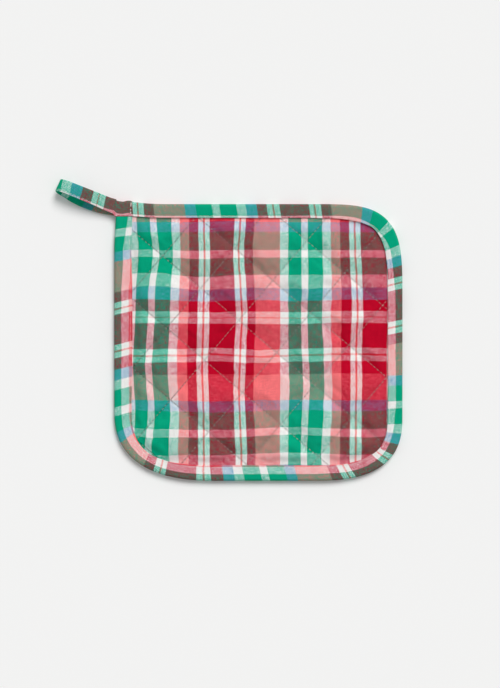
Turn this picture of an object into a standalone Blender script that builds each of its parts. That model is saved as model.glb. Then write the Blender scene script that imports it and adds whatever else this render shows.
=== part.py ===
"""A quilted square pot holder with a bound edge and a hanging loop at its top left corner.

The pad lies flat in X and Y with +Z up, and the origin is under its middle, on the plane it rests on.
It is three solids: the quilted panel, the strip that binds its edge, and the loop that the same strip
makes past the corner. Sizes below are in millimetres, and MM turns them into metres.
"""

import math

import bmesh
import bpy
from mathutils import Vector

MM = 0.001
GAP = 0.3  # between neighbouring solids

# The pad's outer edge. A rounded corner is a quarter of a superellipse: power 2 is an ellipse.
PAD_LEFT = -100.0
PAD_RIGHT = 100.0
PAD_TOP = 95.8
PAD_BOTTOM = -96.3
CORNERS = {
    # corner: (reach along X, reach along Y, power)
    "bottom_left": (72.0, 49.0, 2.5),
    "bottom_right": (63.0, 45.7, 2.7),
    "top_right": (63.0, 66.4, 3.8),
}
CORNER_STEPS = 60
SIDE_STEPS = 8
LEFT_SIDE_START_Y = 86.6  # the left run starts just below the top run
TOP_SIDE_END_X = -99.3  # the top run ends at the pad's left edge, where the loop starts
TOP_END_RISE = 1.6  # the top run climbs a little towards the loop
TOP_RISE_LENGTH = 34.0
LEFT_TOP_LEAN = 1.0  # and the left run leans in at its top
LEFT_LEAN_LENGTH = 22.0
STATIONS = 104  # sections of the binding along the edge

# The binding: a folded strip around the panel's edge.
STRIP_THICKNESS = 1.2
EDGE_HEIGHT = 5.6
FOLD_CHAMFER = 0.5
INNER_CHAMFER = 0.2
FOLD_ROUND = 1.6
FOLD_FLAT = 1.0
FOLD_DROP = 0.15
STITCHED_EDGE_DROP = 0.3
BINDING_WIDTHS = (
    # (share of the way along the edge, width of the strip's leg)
    (0.00, 11.2),
    (0.10, 12.1),
    (0.20, 11.8),
    (0.26, 9.2),
    (0.34, 9.9),
    (0.52, 10.2),
    (0.58, 9.7),
    (0.70, 10.0),
    (0.80, 9.7),
    (0.97, 9.7),
    (1.00, 10.2),
)

# The panel: wadding between two faces, sewn through along two families of parallel lines.
MARGIN_BOTTOM = STRIP_THICKNESS + GAP
MARGIN_TOP = EDGE_HEIGHT - STRIP_THICKNESS - GAP
PANEL_CORNER_RADIUS = 6.0
SEAM_ALLOWANCE = 0.6  # the panel stays flat this far past the binding's inner edge
MARGIN_SWELL = 7.0  # and reaches its full height over this distance
CROWN_HEIGHT = 7.8
CHANNEL_TOP = 4.3
CHANNEL_BOTTOM = 1.3
SWELL_LENGTH = 10.0  # a puff reaches its full height this far from a sewn line
SWELL_POWER = 2.2
GROOVE_HALF_WIDTH = 1.6
QUILT_LINES = {
    # family: (direction of the lines in degrees, spacing, distance of one line from the origin)
    "falling": (-40.3, 36.3, 2.6),
    "rising": (49.4, 34.5, -14.3),
}
QUILT_REACH = 140.0
PUFF_STATIONS = (0.0, 1.6, 8.5)  # where a puff is cut, as distances from a sewn line
WELD = 0.05  # a cut this near an existing point goes through it

# The loop: the strip folded shut, seen along its middle line from the corner out and back under itself.
LOOP_THICKNESS = 2.0
LOOP_EDGE_ROUND = 0.6
LOOP_ROUTE = (
    # (x, y, z, heading of the strap in degrees, strap width)
    (-99.6, 92.6, 4.6, 180.0, 10.0),
    (-104.5, 94.2, 5.6, 168.0, 9.3),
    (-109.5, 96.8, 7.2, 157.0, 8.9),
    (-116.0, 99.9, 8.9, 154.0, 8.7),
    (-124.0, 103.3, 10.2, 155.0, 8.7),
    (-132.4, 106.7, 10.4, 156.0, 8.8),
    (-136.5, 108.2, 9.0, 155.0, 8.9),
    (-137.9, 108.3, 5.7, 153.0, 9.0),
    (-136.7, 106.8, 2.4, 150.0, 9.0),
    (-132.6, 103.6, 1.0, 150.0, 8.9),
    (-127.0, 99.9, 1.0, 154.0, 8.8),
    (-119.5, 96.6, 1.0, 160.0, 8.7),
    (-111.0, 94.3, 1.0, 167.0, 8.7),
    (-104.5, 92.9, 1.0, 174.0, 8.8),
    (-99.7, 92.3, 1.0, 180.0, 9.0),
)
LOOP_STEPS = 4  # sections between two rows of the route


# ---------------------------------------------------------------- small maths


def smooth_step(value):
    value = min(max(value, 0.0), 1.0)
    return value * value * (3.0 - 2.0 * value)


def blend(low, high, share):
    return low + (high - low) * share


def table_value(rows, at):
    """Read a two-column table, easing between its rows."""
    for (start, first), (end, second) in zip(rows, rows[1:]):
        if at <= end:
            return blend(first, second, smooth_step((at - start) / (end - start)))
    return rows[-1][1]


def resample(points, count):
    """Spread points evenly along an open line."""
    lengths = [0.0]
    for before, after in zip(points, points[1:]):
        lengths.append(lengths[-1] + (after - before).length)
    spread = []
    index = 0
    for step in range(count):
        at = lengths[-1] * step / (count - 1)
        while index < len(points) - 2 and lengths[index + 1] < at:
            index += 1
        share = (at - lengths[index]) / (lengths[index + 1] - lengths[index])
        spread.append(points[index].lerp(points[index + 1], share))
    return spread


def smooth_route(rows, steps):
    """Run a Catmull-Rom curve through the rows of a table."""
    rows = [Vector(row) for row in rows]
    padded = [2 * rows[0] - rows[1], *rows, 2 * rows[-1] - rows[-2]]
    route = []
    for before, start, end, after in zip(padded, padded[1:], padded[2:], padded[3:]):
        for step in range(steps):
            t = step / steps
            route.append(
                0.5
                * (
                    2 * start
                    + (end - before) * t
                    + (2 * before - 5 * start + 4 * end - after) * t**2
                    + (3 * start - before - 3 * end + after) * t**3
                )
            )
    route.append(rows[-1])
    return route


# ---------------------------------------------------------------- the pad's edge


def corner_points(name, side_x, side_y, turn):
    """Points round one corner of the pad, from one side to the next."""
    reach_x, reach_y, power = CORNERS[name]
    centre_x = (PAD_LEFT + reach_x) if side_x < 0 else (PAD_RIGHT - reach_x)
    centre_y = (PAD_BOTTOM + reach_y) if side_y < 0 else (PAD_TOP - reach_y)
    points = []
    for step in range(CORNER_STEPS + 1):
        share = step / CORNER_STEPS if turn == "to_y_side" else 1.0 - step / CORNER_STEPS
        angle = share * math.pi / 2
        across = reach_x * math.cos(angle) ** (2.0 / power) if share < 1.0 else 0.0
        along = reach_y * math.sin(angle) ** (2.0 / power)
        points.append(Vector((centre_x + side_x * across, centre_y + side_y * along)))
    return points


def edge_stations():
    """Even points round the pad's edge: down the left, along the bottom, up the right, back along the top."""
    steps = range(SIDE_STEPS + 1)
    line = []
    for share in [step / SIDE_STEPS for step in steps]:
        lean = LEFT_TOP_LEAN * smooth_step(1.0 - share)
        line.append(Vector((PAD_LEFT + lean, LEFT_SIDE_START_Y - LEFT_LEAN_LENGTH * share)))
    line += corner_points("bottom_left", -1, -1, "to_y_side")
    line += corner_points("bottom_right", 1, -1, "to_x_side")
    line += corner_points("top_right", 1, 1, "to_y_side")
    for share in [step / SIDE_STEPS for step in steps]:
        rise = TOP_END_RISE * smooth_step(share)
        line.append(Vector((TOP_SIDE_END_X + TOP_RISE_LENGTH * (1.0 - share), PAD_TOP + rise)))
    return resample(line, STATIONS)


def inward(stations):
    """The unit vector into the pad at each station."""
    normals = []
    for index in range(len(stations)):
        before = stations[max(index - 1, 0)]
        after = stations[min(index + 1, len(stations) - 1)]
        tangent = (after - before).normalized()
        normals.append(Vector((-tangent.y, tangent.x)))
    return normals


def binding_width(index):
    return table_value(BINDING_WIDTHS, index / (STATIONS - 1))


def inset_line(stations, distances):
    return [p + n * d for p, n, d in zip(stations, inward(stations), distances)]


# ---------------------------------------------------------------- objects and materials


def material(name, colour, roughness):
    made = bpy.data.materials.new(name)
    made.use_nodes = True
    made.diffuse_color = (*colour, 1.0)
    shader = made.node_tree.nodes["Principled BSDF"]
    shader.inputs["Base Color"].default_value = (*colour, 1.0)
    shader.inputs["Roughness"].default_value = roughness
    shader.inputs["Metallic"].default_value = 0.0
    return made


def add_object(name, bm, collection, finish):
    """Turn a bmesh in millimetres into a named object in metres."""
    bmesh.ops.scale(bm, vec=Vector((MM, MM, MM)), verts=bm.verts)
    bmesh.ops.recalc_face_normals(bm, faces=bm.faces)
    mesh = bpy.data.meshes.new(name)
    bm.to_mesh(mesh)
    bm.free()
    mesh.materials.append(finish)
    made = bpy.data.objects.new(name, mesh)
    collection.objects.link(made)
    return made


def loft(sections):
    """Skin closed sections, one after another, and close both ends."""
    bm = bmesh.new()
    rings = [[bm.verts.new(point) for point in section] for section in sections]
    for ring, following in zip(rings, rings[1:]):
        for k in range(len(ring)):
            after = (k + 1) % len(ring)
            bm.faces.new((ring[k], ring[after], following[after], following[k]))
    bm.faces.new(rings[0])
    bm.faces.new(rings[-1])
    bm.normal_update()
    bmesh.ops.triangulate(bm, faces=bm.faces)
    return bm


# ---------------------------------------------------------------- the quilted panel


def closed_loop(bm, points):
    """Edges round a closed line of points in the plane."""
    verts = [bm.verts.new((point.x, point.y, 0.0)) for point in points]
    edges = [bm.edges.new((verts[k - 1], verts[k])) for k in range(len(verts))]
    return verts, edges


def panel_outlines(stations):
    """The panel's edge inside the binding's fold, and the line where its flat margin ends."""
    fold = STRIP_THICKNESS + GAP
    outer = inset_line(stations, [fold] * STATIONS)
    corner = Vector((outer[0].x + PANEL_CORNER_RADIUS, outer[-1].y - PANEL_CORNER_RADIUS))
    outer = [p for p in outer if p.x > corner.x or p.y < corner.y]
    for step in range(5):
        angle = math.radians(90.0 + 90.0 * step / 4)
        reach = Vector((math.cos(angle), math.sin(angle))) * PANEL_CORNER_RADIUS
        outer.append(corner + reach)
    widths = [binding_width(k) + SEAM_ALLOWANCE for k in range(STATIONS)]
    inner = inset_line(stations, widths)
    inner = [p for p in inner if p.x > inner[0].x + 1.0 or p.y < inner[-1].y - 1.0]
    return outer, inner


def distance_to_loop(point, loop):
    """How far a point is from a closed line."""
    nearest = math.inf
    for start, end in zip(loop, [*loop[1:], loop[0]]):
        run = end - start
        share = min(max((point - start).dot(run) / run.length_squared, 0.0), 1.0)
        nearest = min(nearest, (point - start - run * share).length)
    return nearest


def line_frame(family):
    """A family of sewn lines: the unit vector across them, their spacing and one line's offset."""
    angle, spacing, offset = QUILT_LINES[family]
    across = Vector((-math.sin(math.radians(angle)), math.cos(math.radians(angle))))
    return across, spacing, offset


def line_distance(point, family):
    across, spacing, offset = line_frame(family)
    beyond = (point.dot(across) - offset) % spacing
    return min(beyond, spacing - beyond)


def swell(distance):
    """A puff's height beside a sewn line, from 0 on the line to 1."""
    return 1.0 - (1.0 - min(distance / SWELL_LENGTH, 1.0)) ** SWELL_POWER


def panel_height(point, on_top, inner):
    """The height of the panel's upper or lower face over one point of its flat margin's inside."""
    distances = [line_distance(point, family) for family in QUILT_LINES]
    ease = smooth_step(distance_to_loop(point, inner) / MARGIN_SWELL)
    if on_top:
        puff = swell(distances[0]) * swell(distances[1])
        return blend(MARGIN_TOP, blend(CHANNEL_TOP, CROWN_HEIGHT, puff), ease)
    flat = all(distance > GROOVE_HALF_WIDTH - WELD for distance in distances)
    return blend(MARGIN_BOTTOM, 0.0 if flat else CHANNEL_BOTTOM, ease)


def cut_along_lines(bm, inside):
    """Cut the panel's face along the sewn lines and along the stations of each puff."""
    reaches = set(PUFF_STATIONS) | {-station for station in PUFF_STATIONS}
    for family in QUILT_LINES:
        across, spacing, offset = line_frame(family)
        count = math.ceil(QUILT_REACH / spacing)
        for line in range(-count, count + 1):
            for reach in sorted(reaches):
                at = across * (offset + line * spacing + reach)
                geometry = list(inside)
                geometry += list({edge for face in inside for edge in face.edges})
                geometry += list({vert for face in inside for vert in face.verts})
                cut = bmesh.ops.bisect_plane(
                    bm,
                    geom=geometry,
                    dist=WELD,
                    plane_co=(at.x, at.y, 0.0),
                    plane_no=(across.x, across.y, 0.0),
                )
                inside = {g for g in cut["geom"] if isinstance(g, bmesh.types.BMFace)}
    return inside


def quilted_panel(stations, collection):
    outer, inner = panel_outlines(stations)
    bm = bmesh.new()
    _, outer_edges = closed_loop(bm, outer)
    inner_verts, inner_edges = closed_loop(bm, inner)
    bmesh.ops.triangle_fill(bm, use_beauty=True, edges=outer_edges + inner_edges)
    middle = bm.faces.new(inner_verts)
    inside = cut_along_lines(bm, {middle})
    swelling = {vert for face in inside for vert in face.verts}
    heights = {}
    for vert in bm.verts:
        point = vert.co.xy
        if vert in swelling:
            heights[vert] = (panel_height(point, True, inner), panel_height(point, False, inner))
        else:
            heights[vert] = (MARGIN_TOP, MARGIN_BOTTOM)
    bm.normal_update()
    bmesh.ops.triangulate(bm, faces=bm.faces)
    lower = [(vert, vert.co.xy, heights[vert]) for vert in bm.verts]
    raised = bmesh.ops.extrude_face_region(bm, geom=bm.faces[:], use_keep_orig=True)
    upper = {}
    for vert in raised["geom"]:
        if isinstance(vert, bmesh.types.BMVert):
            upper[(vert.co.x, vert.co.y)] = vert
    for vert, place, (top, bottom) in lower:
        upper[(place.x, place.y)].co.z = top
        vert.co.z = bottom
    finish = material("panel_cloth", (0.46, 0.10, 0.11), 0.9)
    return add_object("quilted_panel", bm, collection, finish)


# ---------------------------------------------------------------- the binding


def binding_section(width):
    """The folded strip's section as (distance into the pad, height), round from its upper inner edge."""
    top = EDGE_HEIGHT
    under = EDGE_HEIGHT - STRIP_THICKNESS
    middle = EDGE_HEIGHT / 2
    return [
        (width, top - STITCHED_EDGE_DROP),
        (width / 2, top),
        (FOLD_ROUND, top - FOLD_DROP),
        (FOLD_CHAMFER, top - FOLD_DROP - FOLD_CHAMFER),
        (0.0, middle + FOLD_FLAT),
        (0.0, middle - FOLD_FLAT),
        (FOLD_CHAMFER, FOLD_CHAMFER),
        (FOLD_ROUND, 0.0),
        (width, 0.0),
        (width, STRIP_THICKNESS),
        (STRIP_THICKNESS + INNER_CHAMFER, STRIP_THICKNESS),
        (STRIP_THICKNESS, STRIP_THICKNESS + INNER_CHAMFER),
        (STRIP_THICKNESS, under - INNER_CHAMFER),
        (STRIP_THICKNESS + INNER_CHAMFER, under),
        (width, under),
    ]


def binding(stations, collection):
    sections = []
    for index, (place, into) in enumerate(zip(stations, inward(stations))):
        section = []
        for depth, height in binding_section(binding_width(index)):
            point = place + into * depth
            section.append((point.x, point.y, height))
        sections.append(section)
    finish = material("binding_cloth", (0.10, 0.28, 0.18), 0.9)
    return add_object("binding", loft(sections), collection, finish)


# ---------------------------------------------------------------- the hanging loop


def loop_section(width):
    """The strap's section as (distance across, distance out), a flat bar with eased edges."""
    half = width / 2
    thick = LOOP_THICKNESS / 2
    ease = LOOP_EDGE_ROUND
    return [
        (-half + ease, thick),
        (half - ease, thick),
        (half, thick - ease),
        (half, ease - thick),
        (half - ease, -thick),
        (-half + ease, -thick),
        (-half, ease - thick),
        (-half, thick - ease),
    ]


def loop_frames():
    """The strap's middle line, with its vectors across and out of its face, and its width."""
    route = smooth_route(LOOP_ROUTE, LOOP_STEPS)
    middles = [Vector((x, y, max(z, LOOP_THICKNESS / 2))) for x, y, z, _, _ in route]
    last = len(route) - 1
    frames = []
    for index, (_, _, _, heading, width) in enumerate(route):
        run = middles[min(index + 1, last)] - middles[max(index - 1, 0)]
        if index in (0, last):
            run.z = 0.0
        turned = math.radians(heading + 90.0)
        across = Vector((math.cos(turned), math.sin(turned), 0.0))
        out = run.cross(across).normalized()
        frames.append((middles[index], across, out, width))
    return frames


def hanging_loop(collection):
    sections = []
    for middle, across, out, width in loop_frames():
        sections.append([middle + across * a + out * b for a, b in loop_section(width)])
    finish = material("loop_cloth", (0.12, 0.24, 0.16), 0.9)
    return add_object("hanging_loop", loft(sections), collection, finish)


# ---------------------------------------------------------------- build


def main():
    for item in list(bpy.data.objects):
        bpy.data.objects.remove(item, do_unlink=True)
    collection = bpy.data.collections.new("pot_holder")
    bpy.context.scene.collection.children.link(collection)
    stations = edge_stations()
    quilted_panel(stations, collection)
    binding(stations, collection)
    hanging_loop(collection)


main()
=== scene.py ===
"""A quilted pot holder in plaid cotton, with a bound edge and a hanging loop at its top left corner.

The frame's solids give the sizes. The quilted cloth, the strip that binds it and makes the loop, and the
sewing threads are modelled round them. Lengths are in millimetres, and MM turns them into metres.
"""

import math

import bmesh
import bpy
from mathutils import Matrix, Vector, noise
from mathutils.bvhtree import BVHTree
from mathutils.kdtree import KDTree


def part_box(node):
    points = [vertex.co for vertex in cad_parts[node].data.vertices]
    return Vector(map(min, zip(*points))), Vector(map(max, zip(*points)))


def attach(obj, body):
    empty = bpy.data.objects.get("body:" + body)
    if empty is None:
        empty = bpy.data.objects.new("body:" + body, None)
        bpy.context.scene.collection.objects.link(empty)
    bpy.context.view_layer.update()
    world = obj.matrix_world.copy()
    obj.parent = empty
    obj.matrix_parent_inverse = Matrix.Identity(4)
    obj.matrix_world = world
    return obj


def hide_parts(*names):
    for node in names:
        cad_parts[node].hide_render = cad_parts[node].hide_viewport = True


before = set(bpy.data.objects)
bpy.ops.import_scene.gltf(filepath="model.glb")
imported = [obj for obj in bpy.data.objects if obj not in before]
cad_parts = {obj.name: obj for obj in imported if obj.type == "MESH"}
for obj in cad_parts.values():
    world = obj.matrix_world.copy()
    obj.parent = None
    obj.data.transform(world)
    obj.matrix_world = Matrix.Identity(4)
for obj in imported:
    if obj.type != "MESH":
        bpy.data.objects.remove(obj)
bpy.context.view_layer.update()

MM = 0.001
BINDING_LOW, BINDING_HIGH = (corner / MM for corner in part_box("binding"))
PANEL_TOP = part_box("quilted_panel")[1].z / MM

# ---------------------------------------------------------------- sizes of the pad

PAD_LEFT = BINDING_LOW.x
PAD_RIGHT = BINDING_HIGH.x
PAD_BOTTOM = BINDING_LOW.y
TOP_END_RISE = 1.6  # the top run climbs a little towards the loop
PAD_TOP = BINDING_HIGH.y - TOP_END_RISE
TOP_RISE_LENGTH = 34.0
TOP_WRINKLES = (
    # (x, how far the top run's outer fold bulges out where the loop is sewn over it)
    (-99.3, 1.6),
    (-97.4, 0.5),
    (-94.0, 0.2),
    (-90.6, 1.0),
    (-88.8, 1.1),
    (-86.8, 0.3),
    (-76.0, 0.0),
)
CORNERS = {
    # corner: (reach along X, reach along Y, power of its superellipse)
    "bottom_left": (72.0, 49.0, 2.5),
    "bottom_right": (63.0, 45.7, 2.7),
    "top_right": (63.0, 66.4, 3.8),
}
CORNER_STEPS = 200
SIDE_STEPS = 12
NORMAL_REACH = 3  # stations on either side that give the edge's direction
LEFT_RUN_START = 89.0  # the left run starts under the top run
LEFT_TOP_LEAN = 1.0
LEFT_LEAN_LENGTH = 24.4
TOP_RUN_END = -99.3
EDGE_STATIONS = 620

# ---------------------------------------------------------------- the strip

EDGE_HALF = BINDING_HIGH.z / 2
STRIP_WIDTHS = (
    # (share of the way along the edge, width of the strip on the pad's face)
    (0.00, 11.7),
    (0.10, 12.7),
    (0.20, 12.2),
    (0.26, 9.8),
    (0.30, 10.6),
    (0.34, 11.0),
    (0.46, 10.8),
    (0.52, 10.5),
    (0.58, 10.3),
    (0.68, 10.4),
    (0.73, 11.3),
    (0.76, 11.0),
    (0.80, 9.9),
    (0.97, 9.7),
    (1.00, 10.2),
)
GREEN_WIDTHS = (
    # (share of the way along the edge, width of the green stripe over the cloth from the outer fold)
    (0.00, 8.1),
    (0.04, 5.9),
    (0.08, 4.6),
    (0.18, 4.7),
    (0.22, 5.0),
    (0.27, 4.1),
    (0.31, 4.3),
    (0.45, 4.7),
    (0.52, 5.9),
    (0.56, 4.4),
    (0.65, 4.6),
    (0.70, 6.6),
    (0.735, 10.0),
    (0.77, 7.8),
    (0.90, 7.9),
    (1.00, 8.2),
)
STRIPE_LAGS = (
    # (distance along the edge, how far the cloth's own length is ahead of it)
    (0.0, 90.0),
    (45.0, 92.2),
    (90.0, 92.3),
    (138.0, 91.2),
    (200.0, 86.8),
    (250.0, 83.2),
    (290.0, 82.3),
    (314.0, 80.2),
    (340.0, 79.2),
    (360.0, 77.8),
    (386.0, 75.8),
    (397.0, 76.3),
    (415.0, 77.5),
    (450.0, 77.0),
    (472.0, 76.2),
    (500.0, 77.2),
    (520.0, 75.5),
    (542.0, 72.5),
    (570.0, 71.6),
    (600.0, 72.3),
    (640.0, 73.1),
    (668.0, 72.7),
    (695.0, 72.9),
    (712.0, 74.0),
    (724.0, 74.8),
    (736.0, 73.6),
)
STRIPE_SLANTS = (
    # (share of the way along the edge, how far the cross stripes lean for each millimetre inwards)
    (0.00, 0.20),
    (0.10, 0.25),
    (0.20, 0.25),
    (0.30, 0.05),
    (0.38, 0.27),
    (0.46, 0.40),
    (0.53, 0.08),
    (0.575, 0.03),
    (0.61, 0.20),
    (0.69, 0.26),
    (0.74, 0.15),
    (1.00, 0.15),
)
CLOTH_THICKNESS = 0.45
FOLD_RADIUS = 0.27
HEM_WIDTH = 6.5
NOSE_SHARE = 0.75  # how deep the outer fold's round is, against half the strip's height
NOSE_CLOTH_SHARE = 1.2  # how much cloth goes over that round, against the same half
NOSE_STEPS = 5
FACE_STEPS = 5
HEM_FOLD_STEPS = 5
HEM_STOPS = (0.4, 1.0)
STITCH_INSET = 1.3
STITCH_STOPS = (-1.2, -0.6, 0.0, 0.45)  # how far from the stitches the strip's section has its points
STITCH_DIP = 0.3
STITCH_DIP_WIDTH = 0.8
STITCH_DIP_BEAT = 0.35  # how much the dip changes from the middle of a stitch to its ends
HEM_SLOPE = 0.12
STRIP_CREASES = (
    # (height, length along the strip, width across it, place in the noise)
    (0.12, 7.0, 5.0, 3.0),
    (0.07, 2.3, 3.0, 8.0),
)
WIDTH_WAVER = 0.25
WIDTH_WAVE_LENGTH = 11.0
GREEN_WAVE_LENGTH = 17.0
TUCK_LENGTH = 5.0
TUCK_HALF = 1.7
CORNER_PINCH = 0.45  # the strip is this much thinner over the loop's end
CORNER_PINCH_LENGTH = 12.0

# ---------------------------------------------------------------- the loop

LOOP_HALF = 1.0
LOOP_CLOSING = 8.0  # the fold shuts over this length past the corner
LOOP_STEPS = 6
LOOP_GREEN = 7.4  # width of the green stripe on the loop's upper leg
LOWER_LEG_GREEN = 10.3
LOOP_ROUTE = (
    # (x, y, z, heading of the strap in degrees, strap width)
    (-99.6, 94.0, 4.6, 168.0, 10.4),
    (-104.5, 95.7, 5.6, 160.0, 9.7),
    (-109.5, 97.8, 7.2, 157.0, 9.3),
    (-116.0, 100.4, 8.9, 156.0, 9.1),
    (-124.0, 103.6, 10.2, 156.0, 8.9),
    (-132.4, 106.9, 10.4, 156.0, 8.8),
    (-136.5, 108.2, 9.0, 155.0, 8.9),
    (-137.9, 108.3, 5.7, 153.0, 9.0),
    (-136.7, 106.8, 2.4, 150.0, 9.0),
    (-132.4, 104.1, 1.0, 151.0, 8.9),
    (-127.0, 100.7, 1.0, 154.0, 8.8),
    (-119.5, 97.2, 1.0, 160.0, 8.7),
    (-111.0, 94.3, 1.0, 167.0, 8.7),
    (-104.5, 92.9, 1.0, 174.0, 8.8),
    (-99.7, 92.3, 0.6, 180.0, 9.0),
    (-96.0, 92.2, 0.45, 180.0, 8.8),
    (-91.5, 92.2, 0.45, 180.0, 8.6),
)

# ---------------------------------------------------------------- the quilted cloth

QUILT_LINES = {
    # family: (direction of the lines in degrees, spacing, distance of one line from the origin)
    "falling": (-40.3, 36.3, 2.6),
    "rising": (49.4, 34.5, -14.3),
}
CELLS_PER_LINE = 16
LINE_REACH = 5
FOLD_DEPTH = 1.5  # how far inside the pad's edge the cloth ends
RIM_GAP = 1.3  # the grid of cells stops this far short of the rim that closes the pad
MARGIN_TOP = 4.1
MARGIN_BOTTOM = 1.5
SEAM_ALLOWANCE = 0.6
CROWN_HEIGHT = PANEL_TOP - 0.3
CHANNEL_TOP = 4.3
CHANNEL_BOTTOM = 1.3
MARGIN_SWELL = 7.0
SWELL_LENGTH = 10.0
SWELL_POWER = 2.2
SWELL_FRAMES = 20
SWELL_CAP = 1.6
SPARE_CLOTH = 0.03
SEAM_HOLD = 0.3  # points this close to a sewn line stay put while the cloth swells
CROWN_SPARE = 0.6  # how far the swelling may pass the solid's top
LOOP_END_CORNER = 84.0  # past this on both axes the pad rests on the loop's hidden end
LOOP_END_EASE = 4.0
LOOP_END_LIFT = 0.5
BACK_SHIFT = (37.0, 21.0)  # the back is another piece of the same cloth
NUDGES = (
    # (x, y, shift to the right, shift up, reach): where the sewing has drawn the weave aside
    (-73, 61, 2.5, 0.0, 11),
    (-75, -16, -2.3, 0.0, 17),
    (-82, -18, 0.0, -0.6, 12),
    (-80, 0, -0.6, 0.0, 40),
    (-82, -78, -1.6, 0.0, 9),
    (-75, 44, 0.0, 1.3, 11),
    (-75, -73, -2.1, -2.0, 13),
    (-43, 55, 0.7, -0.6, 14),
    (-36, 36, 0.0, -1.3, 15),
    (-36, -16, -0.7, 0.0, 11),
    (-33, -68, 0.0, -2.3, 26),
    (-30, -7, 0.0, 0.9, 10),
    (-22, 81, 0.0, 0.7, 12),
    (-10, 62, -1.5, 0.0, 11),
    (-10, 17, 1.1, 0.0, 10),
    (-10, -35, -1.0, 0.0, 12),
    (-9, -78, 0.7, 0.0, 10),
    (2, -9, 0.0, -0.8, 12),
    (26, 29, 0.0, -0.8, 15),
    (36, -30, 1.2, 0.0, 12),
    (46, 19, -1.0, 0.0, 10),
    (46, -76, -1.4, 0.0, 12),
    (60, 77, -1.0, 0.0, 15),
    (64, -6, 0.0, 0.9, 17),
    (64, -68, 0.0, -1.7, 20),
    (84, -72, 0.0, -1.0, 10),
    (72, 25, 1.0, 0.0, 15),
)

# ---------------------------------------------------------------- the sewing

STITCH_PITCH = 2.9
STITCH_LENGTH = 2.3
STITCH_RADIUS = 0.1
STITCH_SIDES = 8
STITCH_DEPTH = 0.25  # a stitch starts and ends this deep in the cloth
STITCH_ARCH = (
    # (rise over the next sixth of the stitch, growth of its section there)
    (0.22, 1.7),
    (0.08, 1.15),
    (0.0, 1.0),
    (0.0, 1.0),
    (-0.08, 0.87),
    (-0.22, 0.59),
)
STITCH_LIFT = 0.04
STITCH_SLIP = 0.25
STITCH_TURN = 0.06
LINE_HALF_LENGTH = 140.0  # a line is followed this far each way, and sewn where the pad is
STRIP_GAP = 0.8  # the quilting stops this far short of the strip
RAY_HEIGHT = 30.0
TIGHT_SEWING_X = -42.0  # left of here the thread is pulled tight and sinks out of sight
TIGHT_SEWING_EASE = 12.0
TIGHT_SINK = 0.1
# painted shade: how much the cloth's colour is darkened in the seams' dents, where the creases' shade falls
SEAM_PAINTED_SHADE = 0.5
SEAM_DENT = 0.3
SEAM_HALF = 0.55
SEAM_BEAT = 0.25  # how much a seam's dent and its painted shade change along a stitch
LOOSE_SEAM = 0.75  # a loosely sewn seam's dent and painted shade, against a tight one's
FIRST_EDGE_STITCH = 3.0
EDGE_STITCH_SINK = 0.15
TACK_BARS = (
    # (x, y, length against a plain stitch)
    (-88.2, 95.0, 1.5),
    (-88.4, 91.6, 0.5),
    (-88.4, 89.6, 0.7),
)
TACK_SPREAD = 0.12
TACK_SINK = 0.02
TACK_LEAN = 0.07
TACK_THICKNESS = 1.5  # against a plain stitch
QUILTING_THREAD = (0.82, 0.79, 0.76)
EDGE_THREAD = (0.93, 0.85, 0.83)

# ---------------------------------------------------------------- the plaid

# Colours as a screen shows them, from 0 to 1.
GREEN = (0.043, 0.612, 0.467)
WHITE = (0.910, 0.905, 0.895)
PINK = (0.941, 0.451, 0.463)
RED = (0.706, 0.051, 0.165)
BLUE = (0.39, 0.585, 0.735)
CORAL = (0.91, 0.37, 0.36)
FINE_LINE = 1.3  # the coral line in the middle of a barred stripe

WARP = (
    # (colour, width) from left to right
    ("barred", 7.5),
    (RED, 17.6),
    ("barred", 7.9),
    (RED, 6.4),
    (PINK, 17.3),
    (WHITE, 5.5),
    (GREEN, 9.6),
    (WHITE, 4.6),
    (GREEN, 10.1),
    (WHITE, 5.7),
    (PINK, 6.4),
    (RED, 6.7),
)
WARP_START = -41.8  # where the repeat starts on the pad
WEFT = (
    # (colour, width) from the top down
    (BLUE, 7.6),
    (GREEN, 11.8),
    (WHITE, 5.3),
    (GREEN, 12.0),
    (WHITE, 8.6),
    (BLUE, 8.3),
    (RED, 8.0),
    ("barred", 8.3),
    (RED, 17.6),
    ("barred", 9.3),
    (RED, 8.3),
    (PINK, 17.3),
)
WEFT_START = 82.9
STRIP_CROSS = (
    # (colour, width) across the strip, in the order in which they run along it
    (PINK, 21.6),
    (RED, 6.9),
    ("barred", 8.6),
    (RED, 20.8),
    ("barred", 8.8),
    (RED, 7.8),
    (BLUE, 7.3),
    (WHITE, 6.6),
    (GREEN, 11.7),
    (WHITE, 5.1),
    (GREEN, 11.3),
    (BLUE, 7.6),
)
STRIP_GREEN_END = sum(width for _, width in WARP[:9])  # the strip's green and white meet here in the warp
DISPLAY_GAMMA = 2.2

# ---------------------------------------------------------------- the weave

YARN_PITCH = 0.65
PANEL_WARP_SHARE = 0.64  # how much of the warp shows, against the weft
STRIP_WARP_SHARE = 0.5
CROSSING_SHARE = 0.22  # how much more a yarn shows where it lies on top
LOOSE_SHARE = 0.22  # how much that differs from crossing to crossing
SLUB_SHARE = 0.45  # how much more a yarn's thick places show
FLECK_SHARE = 1.3
WANDER_WIDTH = 0.5  # how far the yarns wander
WANDER_SCALE = 0.35
SLUB_WIDTH_SCALE = 0.9  # a slub's scale across its yarn, and below along it
SLUB_LENGTH_SCALE = 0.22
FLECK_SCALE = 1.3
WEAR_SCALE = 0.08
WEAR = 0.06
RIPPLE_SCALE = 0.25
RIPPLE_HEIGHT = 0.14
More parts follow.
